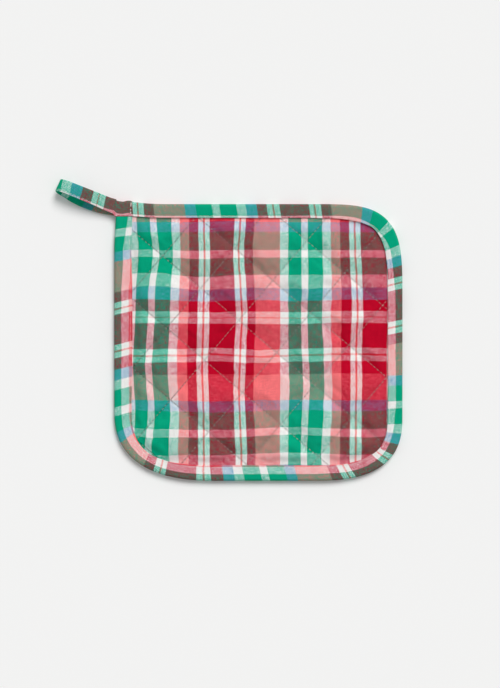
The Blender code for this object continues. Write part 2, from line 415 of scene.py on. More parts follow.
# painted light: how much lighter a yarn's crown is than the hollows beside it
YARN_CROWN_PAINTED_LIGHT = 0.08
SLUB_LIGHT = 0.1
FLECK_LIGHT = 0.12
YARN_HEIGHT = 0.06
SLUB_HEIGHT = 0.05
CLOTH_ROUGHNESS = 0.84
FLECK_ROUGHNESS = 0.2
CLOTH_BUMP = 0.9
THREAD_ROUGHNESS = 0.65
THREAD_FUZZ_SCALE = 1500.0  # for each metre
THREAD_FUZZ_HEIGHT = 0.08
THREAD_SHADE = 0.85
THREAD_SHADE_SPREAD = 0.3
THREAD_ROUGHNESS_SPREAD = 0.25
THREAD_BUMP = 0.8

# ---------------------------------------------------------------- the stage, in metres

FLOOR_SIZE = 60.0
FLOOR_DROP = 0.0001
PAPER = (0.885, 0.885, 0.88)
WORLD_STRENGTH = 0.45
SOFTBOX_STRENGTH = 2.27
SOFTBOX_ANGLE = 30.0
SOFTBOX_FROM = (0.35, 0.75, 1.0)
CAMERA_LENS = 85.0
CAMERA_REACH = 80.0
CAMERA_PLACE = (-0.0058, -0.0013, 1.1300)


# ================================================================ small maths


def smooth_step(value):
    value = min(max(value, 0.0), 1.0)
    return value * value * (3.0 - 2.0 * value)


def blend(low, high, share):
    return low + (high - low) * share


def table_value(rows, at):
    """Read a two-column table, easing between its rows."""
    if at <= rows[0][0]:
        return rows[0][1]
    for (start, first), (end, second) in zip(rows, rows[1:]):
        if at <= end:
            return blend(first, second, smooth_step((at - start) / (end - start)))
    return rows[-1][1]


def resample(points, count):
    """Spread points evenly along an open line."""
    lengths = [0.0]
    for before, after in zip(points, points[1:]):
        lengths.append(lengths[-1] + (after - before).length)
    spread = []
    index = 0
    for step in range(count):
        at = lengths[-1] * step / (count - 1)
        while index < len(points) - 2 and lengths[index + 1] < at:
            index += 1
        share = (at - lengths[index]) / (lengths[index + 1] - lengths[index])
        spread.append(points[index].lerp(points[index + 1], share))
    return spread


def smooth_route(rows, steps):
    """Run a Catmull-Rom curve through the rows of a table."""
    rows = [Vector(row) for row in rows]
    padded = [2 * rows[0] - rows[1], *rows, 2 * rows[-1] - rows[-2]]
    route = []
    for before, start, end, after in zip(padded, padded[1:], padded[2:], padded[3:]):
        for step in range(steps):
            t = step / steps
            bend = (2 * before - 5 * start + 4 * end - after) * t**2
            twist = (3 * start - before - 3 * end + after) * t**3
            route.append(0.5 * (2 * start + (end - before) * t + bend + twist))
    route.append(rows[-1])
    return route


def uneven(x, y, z=0.0):
    """Smooth noise from about -1 to 1."""
    return noise.noise(Vector((x, y, z)))


# ================================================================ the pad's edge


def corner_points(name, side_x, side_y, turn):
    """Points round one corner of the pad, from one side to the next."""
    reach_x, reach_y, power = CORNERS[name]
    centre_x = (PAD_LEFT + reach_x) if side_x < 0 else (PAD_RIGHT - reach_x)
    centre_y = (PAD_BOTTOM + reach_y) if side_y < 0 else (PAD_TOP - reach_y)
    points = []
    for step in range(CORNER_STEPS + 1):
        share = step / CORNER_STEPS if turn == "to_y_side" else 1.0 - step / CORNER_STEPS
        angle = share * math.pi / 2
        across = reach_x * math.cos(angle) ** (2.0 / power) if share < 1.0 else 0.0
        along = reach_y * math.sin(angle) ** (2.0 / power)
        points.append(Vector((centre_x + side_x * across, centre_y + side_y * along)))
    return points


def edge_stations():
    """Even points round the pad's edge: down the left, along the bottom, up the right, along the top."""
    steps = range(SIDE_STEPS + 1)
    line = []
    for share in [step / SIDE_STEPS for step in steps]:
        lean = LEFT_TOP_LEAN * smooth_step(1.0 - share)
        line.append(Vector((PAD_LEFT + lean, LEFT_RUN_START - LEFT_LEAN_LENGTH * share)))
    line += corner_points("bottom_left", -1, -1, "to_y_side")
    line += corner_points("bottom_right", 1, -1, "to_x_side")
    line += corner_points("top_right", 1, 1, "to_y_side")
    for share in [step / SIDE_STEPS for step in steps]:
        rise = TOP_END_RISE * smooth_step(share)
        line.append(Vector((TOP_RUN_END + TOP_RISE_LENGTH * (1.0 - share), PAD_TOP + rise)))
    return resample(line, EDGE_STATIONS)


def inward_normals(stations):
    normals = []
    for index in range(len(stations)):
        before = stations[max(index - NORMAL_REACH, 0)]
        after = stations[min(index + NORMAL_REACH, len(stations) - 1)]
        tangent = (after - before).normalized()
        normals.append(Vector((-tangent.y, tangent.x)))
    return normals


STATIONS = edge_stations()
INWARD = inward_normals(STATIONS)
STATION_STEP = (STATIONS[1] - STATIONS[0]).length
EDGE_LENGTH = STATION_STEP * (EDGE_STATIONS - 1)


class PadEdge:
    """The whole outline, closed over the top left corner, for asking how deep in the pad a point is."""

    def __init__(self):
        self.points = list(STATIONS)
        self.normals = list(INWARD)
        self.widths = [table_value(STRIP_WIDTHS, k / (EDGE_STATIONS - 1)) for k in range(EDGE_STATIONS)]
        gap = STATIONS[-1] - STATIONS[0]
        closing = int(gap.length / STATION_STEP)
        for step in range(1, closing):
            self.points.append(STATIONS[-1].lerp(STATIONS[0], step / closing))
            self.normals.append(Vector((1.0, 0.0)))
            self.widths.append(STRIP_WIDTHS[0][1])
        self.tree = KDTree(len(self.points))
        for index, point in enumerate(self.points):
            self.tree.insert(point.to_3d(), index)
        self.tree.balance()

    def nearest(self, point):
        """(depth inside the pad, inward normal, width of the strip there)."""
        _, index, _ = self.tree.find(point.to_3d())
        normal = self.normals[index]
        return (point - self.points[index]).dot(normal), normal, self.widths[index]


PAD_EDGE = PadEdge()


# ================================================================ making objects


def select_only(item):
    bpy.ops.object.select_all(action="DESELECT")
    item.select_set(True)
    bpy.context.view_layer.objects.active = item


def object_from(name, verts, faces, cloth):
    """A mesh object from points in millimetres, with each point's place on the cloth as its UV."""
    mesh = bpy.data.meshes.new(name)
    mesh.from_pydata([point * MM for point in verts], [], faces)
    lay_cloth(mesh, cloth)
    made = bpy.data.objects.new(name, mesh)
    bpy.context.scene.collection.objects.link(made)
    return made


def lay_cloth(mesh, cloth):
    """Write each point's place on the cloth, in millimetres, to a UV map in metres."""
    layer = mesh.uv_layers.new(name="cloth")
    for loop in mesh.loops:
        across, along = cloth[loop.vertex_index]
        layer.uv[loop.index].vector = (across * MM, along * MM)


def face_outwards(item):
    bm = bmesh.new()
    bm.from_mesh(item.data)
    bmesh.ops.recalc_face_normals(bm, faces=bm.faces)
    bm.to_mesh(item.data)
    bm.free()


def apply_modifiers(item):
    select_only(item)
    for modifier in list(item.modifiers):
        bpy.ops.object.modifier_apply(modifier=modifier.name)


def shade_smooth(item):
    select_only(item)
    bpy.ops.object.shade_smooth()


# ================================================================ materials


class Wire:
    """A value in a material. Its sums and products add Math nodes."""

    def __init__(self, finish, socket):
        self.finish = finish
        self.socket = socket

    def maths(self, operation, *values):
        sockets = dict(enumerate(values))
        return self.finish.add("ShaderNodeMath", {"operation": operation}, sockets)

    def __add__(self, other):
        return self.maths("ADD", self, other)

    def __radd__(self, other):
        return self.maths("ADD", other, self)

    def __sub__(self, other):
        return self.maths("SUBTRACT", self, other)

    def __rsub__(self, other):
        return self.maths("SUBTRACT", other, self)

    def __mul__(self, other):
        return self.maths("MULTIPLY", self, other)

    def __rmul__(self, other):
        return self.maths("MULTIPLY", other, self)

    def __truediv__(self, other):
        return self.maths("DIVIDE", self, other)

    def __abs__(self):
        return self.maths("ABSOLUTE", self)

    def floor(self):
        return self.maths("FLOOR", self)

    def fraction(self):
        return self.maths("FRACT", self)

    def sine(self):
        return self.maths("SINE", self)

    def power(self, other):
        return self.maths("POWER", self, other)

    def clamped(self, low, high):
        return self.maths("MINIMUM", self.maths("MAXIMUM", self, low), high)


class Finish:
    """A material whose nodes are added one by one."""

    def __init__(self, name, roughness, specular, sheen):
        self.material = bpy.data.materials.new(name)
        self.material.use_nodes = True
        self.tree = self.material.node_tree
        self.shader = self.tree.nodes["Principled BSDF"]
        self.shader.inputs["Roughness"].default_value = roughness
        self.shader.inputs["Metallic"].default_value = 0.0
        self.shader.inputs["Specular IOR Level"].default_value = specular
        self.shader.inputs["Sheen Weight"].default_value = sheen
        self.shader.inputs["Sheen Roughness"].default_value = 0.5

    def add(self, kind, settings=None, sockets=None, output=0):
        """Add a node: its settings first, then the values or wires of its sockets."""
        node = self.tree.nodes.new(kind)
        for name, value in (settings or {}).items():
            if name == "stops":
                self.set_stops(node.color_ramp, value)
            else:
                setattr(node, name, value)
        for name, value in (sockets or {}).items():
            if isinstance(value, Wire):
                self.tree.links.new(value.socket, node.inputs[name])
            else:
                node.inputs[name].default_value = value
        return Wire(self, node.outputs[output])

    @staticmethod
    def set_stops(ramp, stops):
        ramp.interpolation = "CONSTANT"
        while len(ramp.elements) < len(stops):
            ramp.elements.new(1.0)
        for element, (position, colour) in zip(ramp.elements, stops):
            element.position = position
            element.color = (*colour, 1.0)

    def feed(self, name, wire):
        self.tree.links.new(wire.socket, self.shader.inputs[name])

    def cloth_places(self):
        """Where a point is on the cloth, across and along, in millimetres."""
        return self.millimetres(self.add("ShaderNodeUVMap", {"uv_map": "cloth"}))

    def millimetres(self, vector):
        """A vector's X and Y, from metres to millimetres."""
        return [self.add("ShaderNodeSeparateXYZ", {}, {"Vector": vector}, side) / MM for side in (0, 1)]

    def object_place(self):
        return self.add("ShaderNodeTexCoord", {}, {}, 3)

    def noise(self, vector, scale, detail=2.0, roughness=0.5):
        """Noise from about 0 to 1."""
        sockets = {"Vector": vector, "Scale": scale, "Detail": detail, "Roughness": roughness}
        return self.add("ShaderNodeTexNoise", {}, sockets)

    def vector(self, x, y, z=0.0):
        return self.add("ShaderNodeCombineXYZ", {}, {"X": x, "Y": y, "Z": z})

    def scaled(self, colour, amount):
        """A colour made lighter or darker."""
        return self.add("ShaderNodeVectorMath", {"operation": "SCALE"}, {0: colour, "Scale": amount})

    def mixed(self, first, second, share):
        settings = {"data_type": "RGBA"}
        return self.add("ShaderNodeMix", settings, {"Factor": share, 6: first, 7: second}, 2)

    def true_colour(self, shown):
        """From a colour as a screen shows it to true light."""
        return self.add("ShaderNodeGamma", {}, {"Color": shown, "Gamma": DISPLAY_GAMMA})

    def bump(self, height, strength):
        """A normal from heights in millimetres."""
        sockets = {"Height": height * MM, "Distance": 1.0, "Strength": strength}
        return self.add("ShaderNodeBump", {}, sockets)


def stripe_stops(stripes):
    """A ramp's stops over one repeat of stripes, and the repeat's length."""
    bands = []
    for colour, width in stripes:
        if colour == "barred":
            side = (width - FINE_LINE) / 2
            bands += [(WHITE, side), (CORAL, FINE_LINE), (WHITE, side)]
        else:
            bands.append((colour, width))
    repeat = sum(width for _, width in bands)
    stops = []
    at = 0.0
    for colour, width in bands:
        stops.append((at / repeat, colour))
        at += width
    return stops, repeat


def yarn_colours(finish, place, stripes, start):
    """The colour of the yarn at a place across a set of stripes."""
    stops, repeat = stripe_stops(stripes)
    yarn_middle = ((place / YARN_PITCH).floor() + 0.5) * YARN_PITCH
    share = ((yarn_middle - start) / repeat).fraction()
    return finish.add("ShaderNodeValToRGB", {"stops": stops}, {"Fac": share})


def seam_marks(finish):
    """1 in the dents that the quilting stitches pull into the cloth, and 0 away from them. The bump sinks
    there, and shade is painted into the colour there.
    """
    x, y = finish.millimetres(finish.object_place())
    marks = []
    for family in QUILT_LINES:
        across, spacing, offset = line_frame(family)
        beyond = x * across.x + y * across.y - offset
        away = abs((beyond / spacing + 0.5).fraction() - 0.5) * spacing
        along = x * across.y - y * across.x
        stitch = (along * (2 * math.pi / STITCH_PITCH)).sine() * SEAM_BEAT + (1.0 - SEAM_BEAT)
        marks.append((1.0 - away / SEAM_HALF).clamped(0.0, 1.0) * stitch)
    tight = ((TIGHT_SEWING_X - x) / TIGHT_SEWING_EASE).clamped(LOOSE_SEAM, 1.0)
    return marks[0].maths("MAXIMUM", marks[0], marks[1]) * tight


def woven(name, warp_stripes, warp_start, weft_stripes, weft_start, warp_share, quilted=False):
    """A plain weave of two striped sets of yarns. UV across is the warp's place, and along the weft's."""
    finish = Finish(name, CLOTH_ROUGHNESS, specular=0.03, sheen=0.03)
    across, along = finish.cloth_places()
    wander = finish.noise(finish.vector(across * WANDER_SCALE, along * WANDER_SCALE), 1.0, 1.0) - 0.5
    warp_at = across + wander * WANDER_WIDTH
    weft_at = along - wander * WANDER_WIDTH
    warp = yarn_colours(finish, warp_at, warp_stripes, warp_start)
    weft = yarn_colours(finish, weft_at, weft_stripes, weft_start)

    warp_yarn = warp_at / YARN_PITCH
    weft_yarn = weft_at / YARN_PITCH
    over = (warp_yarn * math.pi).sine() * (weft_yarn * math.pi).sine()
    warp_slub_at = finish.vector(warp_yarn * SLUB_WIDTH_SCALE, along * SLUB_LENGTH_SCALE)
    weft_slub_at = finish.vector(across * SLUB_LENGTH_SCALE, weft_yarn * SLUB_WIDTH_SCALE, 7.0)
    warp_slub = finish.noise(warp_slub_at, 1.0, 1.0) - 0.5
    weft_slub = finish.noise(weft_slub_at, 1.0, 1.0) - 0.5
    fleck = finish.noise(finish.vector(across, along, 3.0), FLECK_SCALE, 2.0, 0.7) - 0.5
    cell = finish.vector(warp_yarn.floor(), weft_yarn.floor())
    loose = finish.add("ShaderNodeTexWhiteNoise", {"noise_dimensions": "2D"}, {"Vector": cell}, 0) - 0.5

    crossing = (over * 2.0).clamped(-1.0, 1.0)
    share = warp_share + crossing * CROSSING_SHARE + loose * LOOSE_SHARE
    share = share + (warp_slub - weft_slub) * SLUB_SHARE + fleck * FLECK_SHARE
    cloth = finish.mixed(weft, warp, share.clamped(0.0, 1.0))
    slubs = warp_slub + weft_slub
    # painted light on the yarns' crowns, darker in the hollows between them, following the weave's relief;
    # the slubs and flecks are the yarn's own tone
    shown = finish.scaled(cloth, 1.0 + abs(over) * YARN_CROWN_PAINTED_LIGHT + slubs * SLUB_LIGHT + fleck * FLECK_LIGHT)
    worn = finish.noise(finish.vector(across, along, 11.0), WEAR_SCALE, 2.0)
    shown = finish.scaled(shown, 1.0 - WEAR + worn * WEAR)
    relief = abs(over).power(0.7) * YARN_HEIGHT + slubs * SLUB_HEIGHT
    if quilted:
        sewn = seam_marks(finish)
        # painted shade: the colour darkens along the seams' dents; the dent in the bump below is real relief
        shown = finish.scaled(shown, 1.0 - sewn * SEAM_PAINTED_SHADE)
        relief = relief - sewn * SEAM_DENT
    finish.feed("Base Color", finish.true_colour(shown))
    finish.feed("Roughness", CLOTH_ROUGHNESS + fleck * FLECK_ROUGHNESS)
    ripple = finish.noise(finish.vector(across, along, 17.0), RIPPLE_SCALE, 3.0) * RIPPLE_HEIGHT
    finish.feed("Normal", finish.bump(relief + ripple, CLOTH_BUMP))
    return finish.material


def thread_finish(name, colour):
    """Twisted sewing thread."""
    finish = Finish(name, THREAD_ROUGHNESS, specular=0.3, sheen=0.1)
    fuzz = finish.noise(finish.object_place(), THREAD_FUZZ_SCALE, 2.0)
    shown = finish.scaled(colour, THREAD_SHADE + fuzz * THREAD_SHADE_SPREAD)
    finish.feed("Base Color", finish.true_colour(shown))
    finish.feed("Roughness", THREAD_ROUGHNESS + fuzz * THREAD_ROUGHNESS_SPREAD)
    finish.feed("Normal", finish.bump(fuzz * THREAD_FUZZ_HEIGHT, THREAD_BUMP))
    return finish.material


# ================================================================ the quilted cloth


def line_frame(family):
    """A family of sewn lines: the unit vector across them, their spacing and one line's offset."""
    angle, spacing, offset = QUILT_LINES[family]
    across = Vector((-math.sin(math.radians(angle)), math.cos(math.radians(angle))))
    return across, spacing, offset


def line_distance(point, family):
    across, spacing, offset = line_frame(family)
    beyond = (point.dot(across) - offset) % spacing
    return min(beyond, spacing - beyond)


def lattice_matrix():
    """From counts of lines in both families to the place where those lines cross."""
    first, first_spacing, first_offset = line_frame("falling")
    second, second_spacing, second_offset = line_frame("rising")
    solve = Matrix((first, second)).inverted()
    along_first = solve @ Vector((first_spacing, 0.0))
    along_second = solve @ Vector((0.0, second_spacing))
    origin = solve @ Vector((first_offset, second_offset))
    return origin, along_first, along_second


LATTICE_ORIGIN, LATTICE_FIRST, LATTICE_SECOND = lattice_matrix()


def lattice_place(first, second):
    return LATTICE_ORIGIN + LATTICE_FIRST * first + LATTICE_SECOND * second


def swell(distance):
    """A puff's height beside a sewn line, from 0 on the line to 1."""
    return 1.0 - (1.0 - min(distance / SWELL_LENGTH, 1.0)) ** SWELL_POWER


def panel_heights(point):
    """The heights of the upper and lower cloth over a point of the pad."""
    depth, _, width = PAD_EDGE.nearest(point)
    ease = smooth_step((depth - width - SEAM_ALLOWANCE) / MARGIN_SWELL)
    puff = swell(line_distance(point, "falling")) * swell(line_distance(point, "rising"))
    top = blend(MARGIN_TOP, blend(CHANNEL_TOP, CROWN_HEIGHT, puff), ease)
    above = smooth_step((point.y - LOOP_END_CORNER) / LOOP_END_EASE)
    beside = smooth_step((-LOOP_END_CORNER - point.x) / LOOP_END_EASE)
    margin = MARGIN_BOTTOM + LOOP_END_LIFT * above * beside
    return top, blend(margin, CHANNEL_BOTTOM * (1.0 - puff), ease)


def cloth_place(point):
    """The place on the flat cloth of a point on the pad, once the sewing's nudges are taken away."""
    place = point.copy()
    for x, y, right, up, reach in NUDGES:
        away = point - Vector((x, y))
        place -= Vector((right, up)) * math.exp(-away.length_squared / (2 * reach**2))
    return place.x, place.y


def lay_out(bm):
    """Put the grid's cells on the sewn lines, cut it to the pad's outline and draw its rim to the edge."""
    for vert in bm.verts:
        vert.co = lattice_place(vert.co.x, vert.co.y).to_3d()
    depths = {vert: PAD_EDGE.nearest(vert.co.xy)[0] for vert in bm.verts}
    outside = [vert for vert in bm.verts if depths[vert] < FOLD_DEPTH + RIM_GAP]
    bmesh.ops.delete(bm, geom=outside, context="VERTS")
    border = [edge for edge in bm.edges if edge.is_boundary]
    rim = bmesh.ops.extrude_edge_only(bm, edges=border)
    for vert in rim["geom"]:
        if isinstance(vert, bmesh.types.BMVert):
            depth, normal, _ = PAD_EDGE.nearest(vert.co.xy)
            vert.co -= (normal * (depth - FOLD_DEPTH)).to_3d()


def raise_faces(bm):
    """Extrude the flat cloth into an upper and a lower face, closed at the rim, each at its height."""
    heights = {vert: panel_heights(vert.co.xy) for vert in bm.verts}
    raised = bmesh.ops.extrude_face_region(bm, geom=bm.faces[:], use_keep_orig=True)
    upper = {}
    for vert in raised["geom"]:
        if isinstance(vert, bmesh.types.BMVert):
            upper[(vert.co.x, vert.co.y)] = vert
    for vert, (top, bottom) in heights.items():
        upper[(vert.co.x, vert.co.y)].co.z = top
        vert.co.z = bottom
    bmesh.ops.recalc_face_normals(bm, faces=bm.faces)


def settle_order(bm):
    """Number the points, edges and faces by their place, so that the cloth swells the same every time."""
    keys = (
        (bm.verts, lambda vert: vert.co[:]),
        (bm.edges, lambda edge: sorted(vert.index for vert in edge.verts)),
        (bm.faces, lambda face: sorted(vert.index for vert in face.verts)),
    )
    for parts, key in keys:
        ranks = {part: rank for rank, part in enumerate(sorted(parts, key=key))}
        parts.sort(key=ranks.get)
        parts.index_update()


def quilted_cloth(finish):
    """Both faces of the quilted cloth as one closed pad, puffed up between its sewn lines."""
    cells = 2 * LINE_REACH * CELLS_PER_LINE
    bpy.ops.object.select_all(action="DESELECT")
    bpy.ops.mesh.primitive_grid_add(x_subdivisions=cells, y_subdivisions=cells, size=2 * LINE_REACH)
    pad = bpy.context.object
    pad.name = "quilted_cloth"
    bm = bmesh.new()
    bm.from_mesh(pad.data)
    lay_out(bm)
    raise_faces(bm)
    settle_order(bm)
    places = [vert.co.xy for vert in bm.verts]
    cloth = []
    for vert, place in zip(bm.verts, places):
        across, along = cloth_place(place)
        upper = vert.co.z > (MARGIN_TOP + MARGIN_BOTTOM) / 2
        cloth.append((across, along) if upper else (across + BACK_SHIFT[0], along + BACK_SHIFT[1]))
    bmesh.ops.scale(bm, vec=Vector((MM, MM, MM)), verts=bm.verts)
    bm.to_mesh(pad.data)
    bm.free()
    for old in list(pad.data.uv_layers):
        pad.data.uv_layers.remove(old)
    lay_cloth(pad.data, cloth)
    puff_up(pad, places)
    smooth = pad.modifiers.new("smooth", "SUBSURF")
    smooth.levels = 1
    smooth.render_levels = 1
    apply_modifiers(pad)
    shade_smooth(pad)
    pad.data.materials.clear()
    pad.data.materials.append(finish)
    return pad


def puff_up(pad, places):
    """Swell the cloth between its sewn lines with Blender's cloth simulation."""
    sewn = pad.vertex_groups.new(name="sewn")
    held = []
    for index, place in enumerate(places):
        depth, _, width = PAD_EDGE.nearest(place)
        on_line = min(line_distance(place, family) for family in QUILT_LINES) < SEAM_HOLD
        if on_line or depth < width + SEAM_ALLOWANCE:
            held.append(index)
    sewn.add(held, 1.0, "REPLACE")
    before = [vert.co.copy() for vert in pad.data.vertices]
    cloth = pad.modifiers.new("cloth", "CLOTH")
    settings = cloth.settings
    settings.quality = 5
    settings.mass = 0.05
    settings.tension_stiffness = 8.0
    settings.compression_stiffness = 8.0
    settings.shear_stiffness = 3.0
    settings.bending_stiffness = 0.02
    settings.vertex_group_mass = "sewn"
    settings.use_pressure = True
    settings.uniform_pressure_force = 4.0
    settings.shrink_min = -SPARE_CLOTH
    settings.effector_weights.gravity = 0.0
    cloth.point_cache.frame_start = 1
    cloth.point_cache.frame_end = SWELL_FRAMES
    scene = bpy.context.scene
    for step in range(1, SWELL_FRAMES + 1):
        scene.frame_set(step)
    apply_modifiers(pad)
    scene.frame_set(1)
    limit = SWELL_CAP * MM
    ceiling = (PANEL_TOP + CROWN_SPARE) * MM
    for vert, start in zip(pad.data.vertices, before):
        moved = vert.co - start
        if moved.length > limit:
            moved *= limit / moved.length
        vert.co = start + moved
        vert.co.z = min(max(vert.co.z, 0.0), ceiling)
    pad.vertex_groups.clear()


# ================================================================ the strip that binds the edge


class StripFrame:
    """One place along the strip: its outer fold, the ways in over the pad and out of its face, its sizes."""

    def __init__(self, fold, into, out, width, half, length, green):
        self.fold = fold
        self.into = into
        self.out = out
        self.width = width
        self.half = half
        self.length = length
        self.green = green

    def point(self, inward, outward):
        return self.fold + self.into * inward + self.out * outward


def edge_frames():
    """The strip's frames round the pad's edge."""
    frames = []
    for index, (place, into) in enumerate(zip(STATIONS, INWARD)):
        share = index / (EDGE_STATIONS - 1)
        length = STATION_STEP * index
        tuck = smooth_step(length / TUCK_LENGTH)
        pinch = CORNER_PINCH * smooth_step(1.0 - (EDGE_LENGTH - length) / CORNER_PINCH_LENGTH)
        half = blend(TUCK_HALF, EDGE_HALF, tuck) - pinch
        middle = EDGE_HALF + pinch
        width = table_value(STRIP_WIDTHS, share) + WIDTH_WAVER * uneven(length / WIDTH_WAVE_LENGTH, 2.0)
        green = table_value(GREEN_WIDTHS, share) + WIDTH_WAVER * uneven(length / GREEN_WAVE_LENGTH, 4.0)
        bulge = table_value(TOP_WRINKLES, place.x) if place.y > LEFT_RUN_START else 0.0
        fold = (place - into * bulge).to_3d()
        fold.z = middle
        up = Vector((0.0, 0.0, 1.0))
        frames.append(StripFrame(fold, into.to_3d(), up, width + bulge, half, length, green))
    return frames


def loop_frames(start_length):
    """The strip's frames past the corner, out round the loop's tip and back under itself."""
    route = smooth_route(LOOP_ROUTE, LOOP_STEPS)
    middles = [Vector(row[:3]) for row in route]
    last = len(route) - 1
    frames = []
    length = start_length
    for index, (_, _, _, heading, width) in enumerate(route):
        run = middles[min(index + 1, last)] - middles[max(index - 1, 0)]
        if index in (0, last):
            run.z = 0.0
        if index:
            length += (middles[index] - middles[index - 1]).length
        turned = math.radians(heading + 90.0)
        into = Vector((math.cos(turned), math.sin(turned), 0.0))
        out = run.cross(into).normalized()
        closing = smooth_step((length - start_length) / LOOP_CLOSING)
        half = blend(EDGE_HALF - CORNER_PINCH, LOOP_HALF, closing)
        middle = middles[index].copy()
        if out.z > 0.0:
            middle.z -= half - LOOP_HALF
        else:
            half = min(half, max(middle.z, CLOTH_THICKNESS))
            middle.z = max(middle.z, half)
        fold = middle - into * (width / 2)
        green = LOOP_GREEN if out.z > 0.0 else LOWER_LEG_GREEN
        frames.append(StripFrame(fold, into, out, width, half, length, green))
    return frames


def strip_profile(width, half, length):
    """The cloth's middle line across the strip, from its hidden upper hem round the outer fold and back.

    Each row is (distance in from the outer fold, height, distance over the cloth from the fold's middle).
    """
    lie = half - CLOTH_THICKNESS / 2
    nose = NOSE_SHARE * half
    fold_at = width - CLOTH_THICKNESS / 2 - FOLD_RADIUS
    sewn_at = width - STITCH_INSET
    upper = []
    for step in range(NOSE_STEPS + 1):
        angle = math.radians(90.0 * step / NOSE_STEPS)
        reach = nose - (nose - CLOTH_THICKNESS / 2) * math.cos(angle)
        upper.append((reach, lie * math.sin(angle)))
    first_stop = sewn_at + STITCH_STOPS[0]
    stops = [blend(nose, first_stop, (step + 1) / FACE_STEPS) for step in range(FACE_STEPS)]
    stops += [sewn_at + beside for beside in STITCH_STOPS[1:]] + [fold_at]
    beat = 1.0 - STITCH_DIP_BEAT + STITCH_DIP_BEAT * math.cos(2 * math.pi * length / STITCH_PITCH)
    for stop in stops:
        dip = beat * STITCH_DIP * math.exp(-(((stop - sewn_at) / STITCH_DIP_WIDTH) ** 2))
        slope = HEM_SLOPE * smooth_step((stop - nose) / (width - nose))
        crease = sum(
            height * uneven(length / along, stop / across, place)
            for height, along, across, place in STRIP_CREASES
        )
        upper.append((stop, lie - (dip + slope - crease) * min(1.0, half)))
    edge_height = upper[-1][1]
    for step in range(1, HEM_FOLD_STEPS + 1):
        angle = math.radians(90.0 - 180.0 * step / HEM_FOLD_STEPS)
        reach = fold_at + FOLD_RADIUS * math.cos(angle)
        upper.append((reach, edge_height - FOLD_RADIUS + FOLD_RADIUS * math.sin(angle)))
    for share in HEM_STOPS:
        upper.append((fold_at - HEM_WIDTH * share, edge_height - 2 * FOLD_RADIUS))
    rows = []
    over = 0.0
    for before, here in zip([upper[0], *upper], upper):
        over += math.hypot(here[0] - before[0], here[1] - before[1])
        rows.append((here[0], here[1], over))
    lower = [(reach, -height, -over) for reach, height, over in rows[1:]]
    return rows[::-1] + lower


def ring_round(profile):
    """The closed section of a cloth of real thickness along a profile."""
    first = []
    second = []
    for index, (reach, height, over) in enumerate(profile):
        before = profile[max(index - 1, 0)]
        after = profile[min(index + 1, len(profile) - 1)]
        run = Vector((after[0] - before[0], after[1] - before[1])).normalized()
        side = Vector((-run.y, run.x)) * (CLOTH_THICKNESS / 2)
        first.append((reach + side.x, height + side.y, over))
        second.append((reach - side.x, height - side.y, over))
    return first + second[::-1]


def edge_strip(finish):
    """The one strip that is folded over the pad's edge and goes on to make the loop."""
    frames = edge_frames()
    frames += loop_frames(EDGE_LENGTH)
    verts = []
    cloth = []
    for place in frames:
        ring = ring_round(strip_profile(place.width, place.half, place.length))
        nose_cloth = (NOSE_CLOTH_SHARE - NOSE_SHARE) * place.half
        along = place.length + table_value(STRIPE_LAGS, place.length)
        slant = table_value(STRIPE_SLANTS, place.length / EDGE_LENGTH)
        for reach, height, over in ring:
            spot = place.point(reach, height)
            spot.z = max(spot.z, 0.0)
            verts.append(spot)
            across = STRIP_GREEN_END + over - nose_cloth - place.green
            cloth.append((across, along + slant * (reach - place.width / 2)))
    size = len(ring)
    faces = [tuple(range(size))]
    for row in range(len(frames) - 1):
        start = row * size
        for k in range(size):
            after = (k + 1) % size
            faces.append((start + k, start + after, start + size + after, start + size + k))
    faces.append(tuple(range(len(verts) - size, len(verts))))
    strip = object_from("edge_strip", verts, faces, cloth)
    face_outwards(strip)
    shade_smooth(strip)
    strip.data.materials.append(finish)
    middle = frames[len(frames) // 2]
    flat_width = 2 * max(over for _, _, over in strip_profile(middle.width, middle.half, middle.length))
    return strip, (flat_width * MM, frames[-1].length * MM), frames


# ================================================================ sewing


def stitch_pattern():
    """One stitch: a short round thread, arched, with both ends bent down into the cloth."""
    bpy.ops.object.select_all(action="DESELECT")
    bpy.ops.mesh.primitive_circle_add(
        vertices=STITCH_SIDES,
        radius=STITCH_RADIUS / 2 * MM,
        fill_type="NGON",
        location=(-STITCH_LENGTH / 2 * MM, 0.0, -STITCH_DEPTH * MM),
        rotation=(0.0, math.pi / 2, 0.0),
    )
    stitch = bpy.context.object
    bpy.ops.object.transform_apply(location=True, rotation=True, scale=True)
    bpy.ops.object.mode_set(mode="EDIT")
    bpy.ops.mesh.select_all(action="SELECT")
    run = STITCH_LENGTH / len(STITCH_ARCH)
    for rise, growth in STITCH_ARCH:
        bpy.ops.mesh.extrude_region_move(TRANSFORM_OT_translate={"value": (run * MM, 0.0, rise * MM)})
        bpy.ops.transform.resize(value=(1.0, growth, growth))
    bpy.ops.object.mode_set(mode="OBJECT")
    face_outwards(stitch)
    return stitch


def sew(name, pattern, places, finish):
    """Copy a stitch to each place and join the copies into one piece."""
    copies = []
    for place in places:
        mesh = pattern.data.copy()
        mesh.transform(place)
        copy = bpy.data.objects.new(name, mesh)
        bpy.context.scene.collection.objects.link(copy)
        copies.append(copy)
    bpy.ops.object.select_all(action="DESELECT")
    for copy in copies:
        copy.select_set(True)
    bpy.context.view_layer.objects.active = copies[0]
    bpy.ops.object.join()
    joined = bpy.context.object
    joined.name = name
    joined.data.materials.append(finish)
    shade_smooth(joined)
    return joined


def placed(point, run, up):
    """The matrix of a stitch that lies at a point in millimetres, along run, with up out of the cloth."""
    run = run.normalized()
    side = up.cross(run).normalized()
    up = run.cross(side)
    turn = Matrix((run, side, up)).transposed().to_4x4()
    return Matrix.Translation(point * MM) @ turn


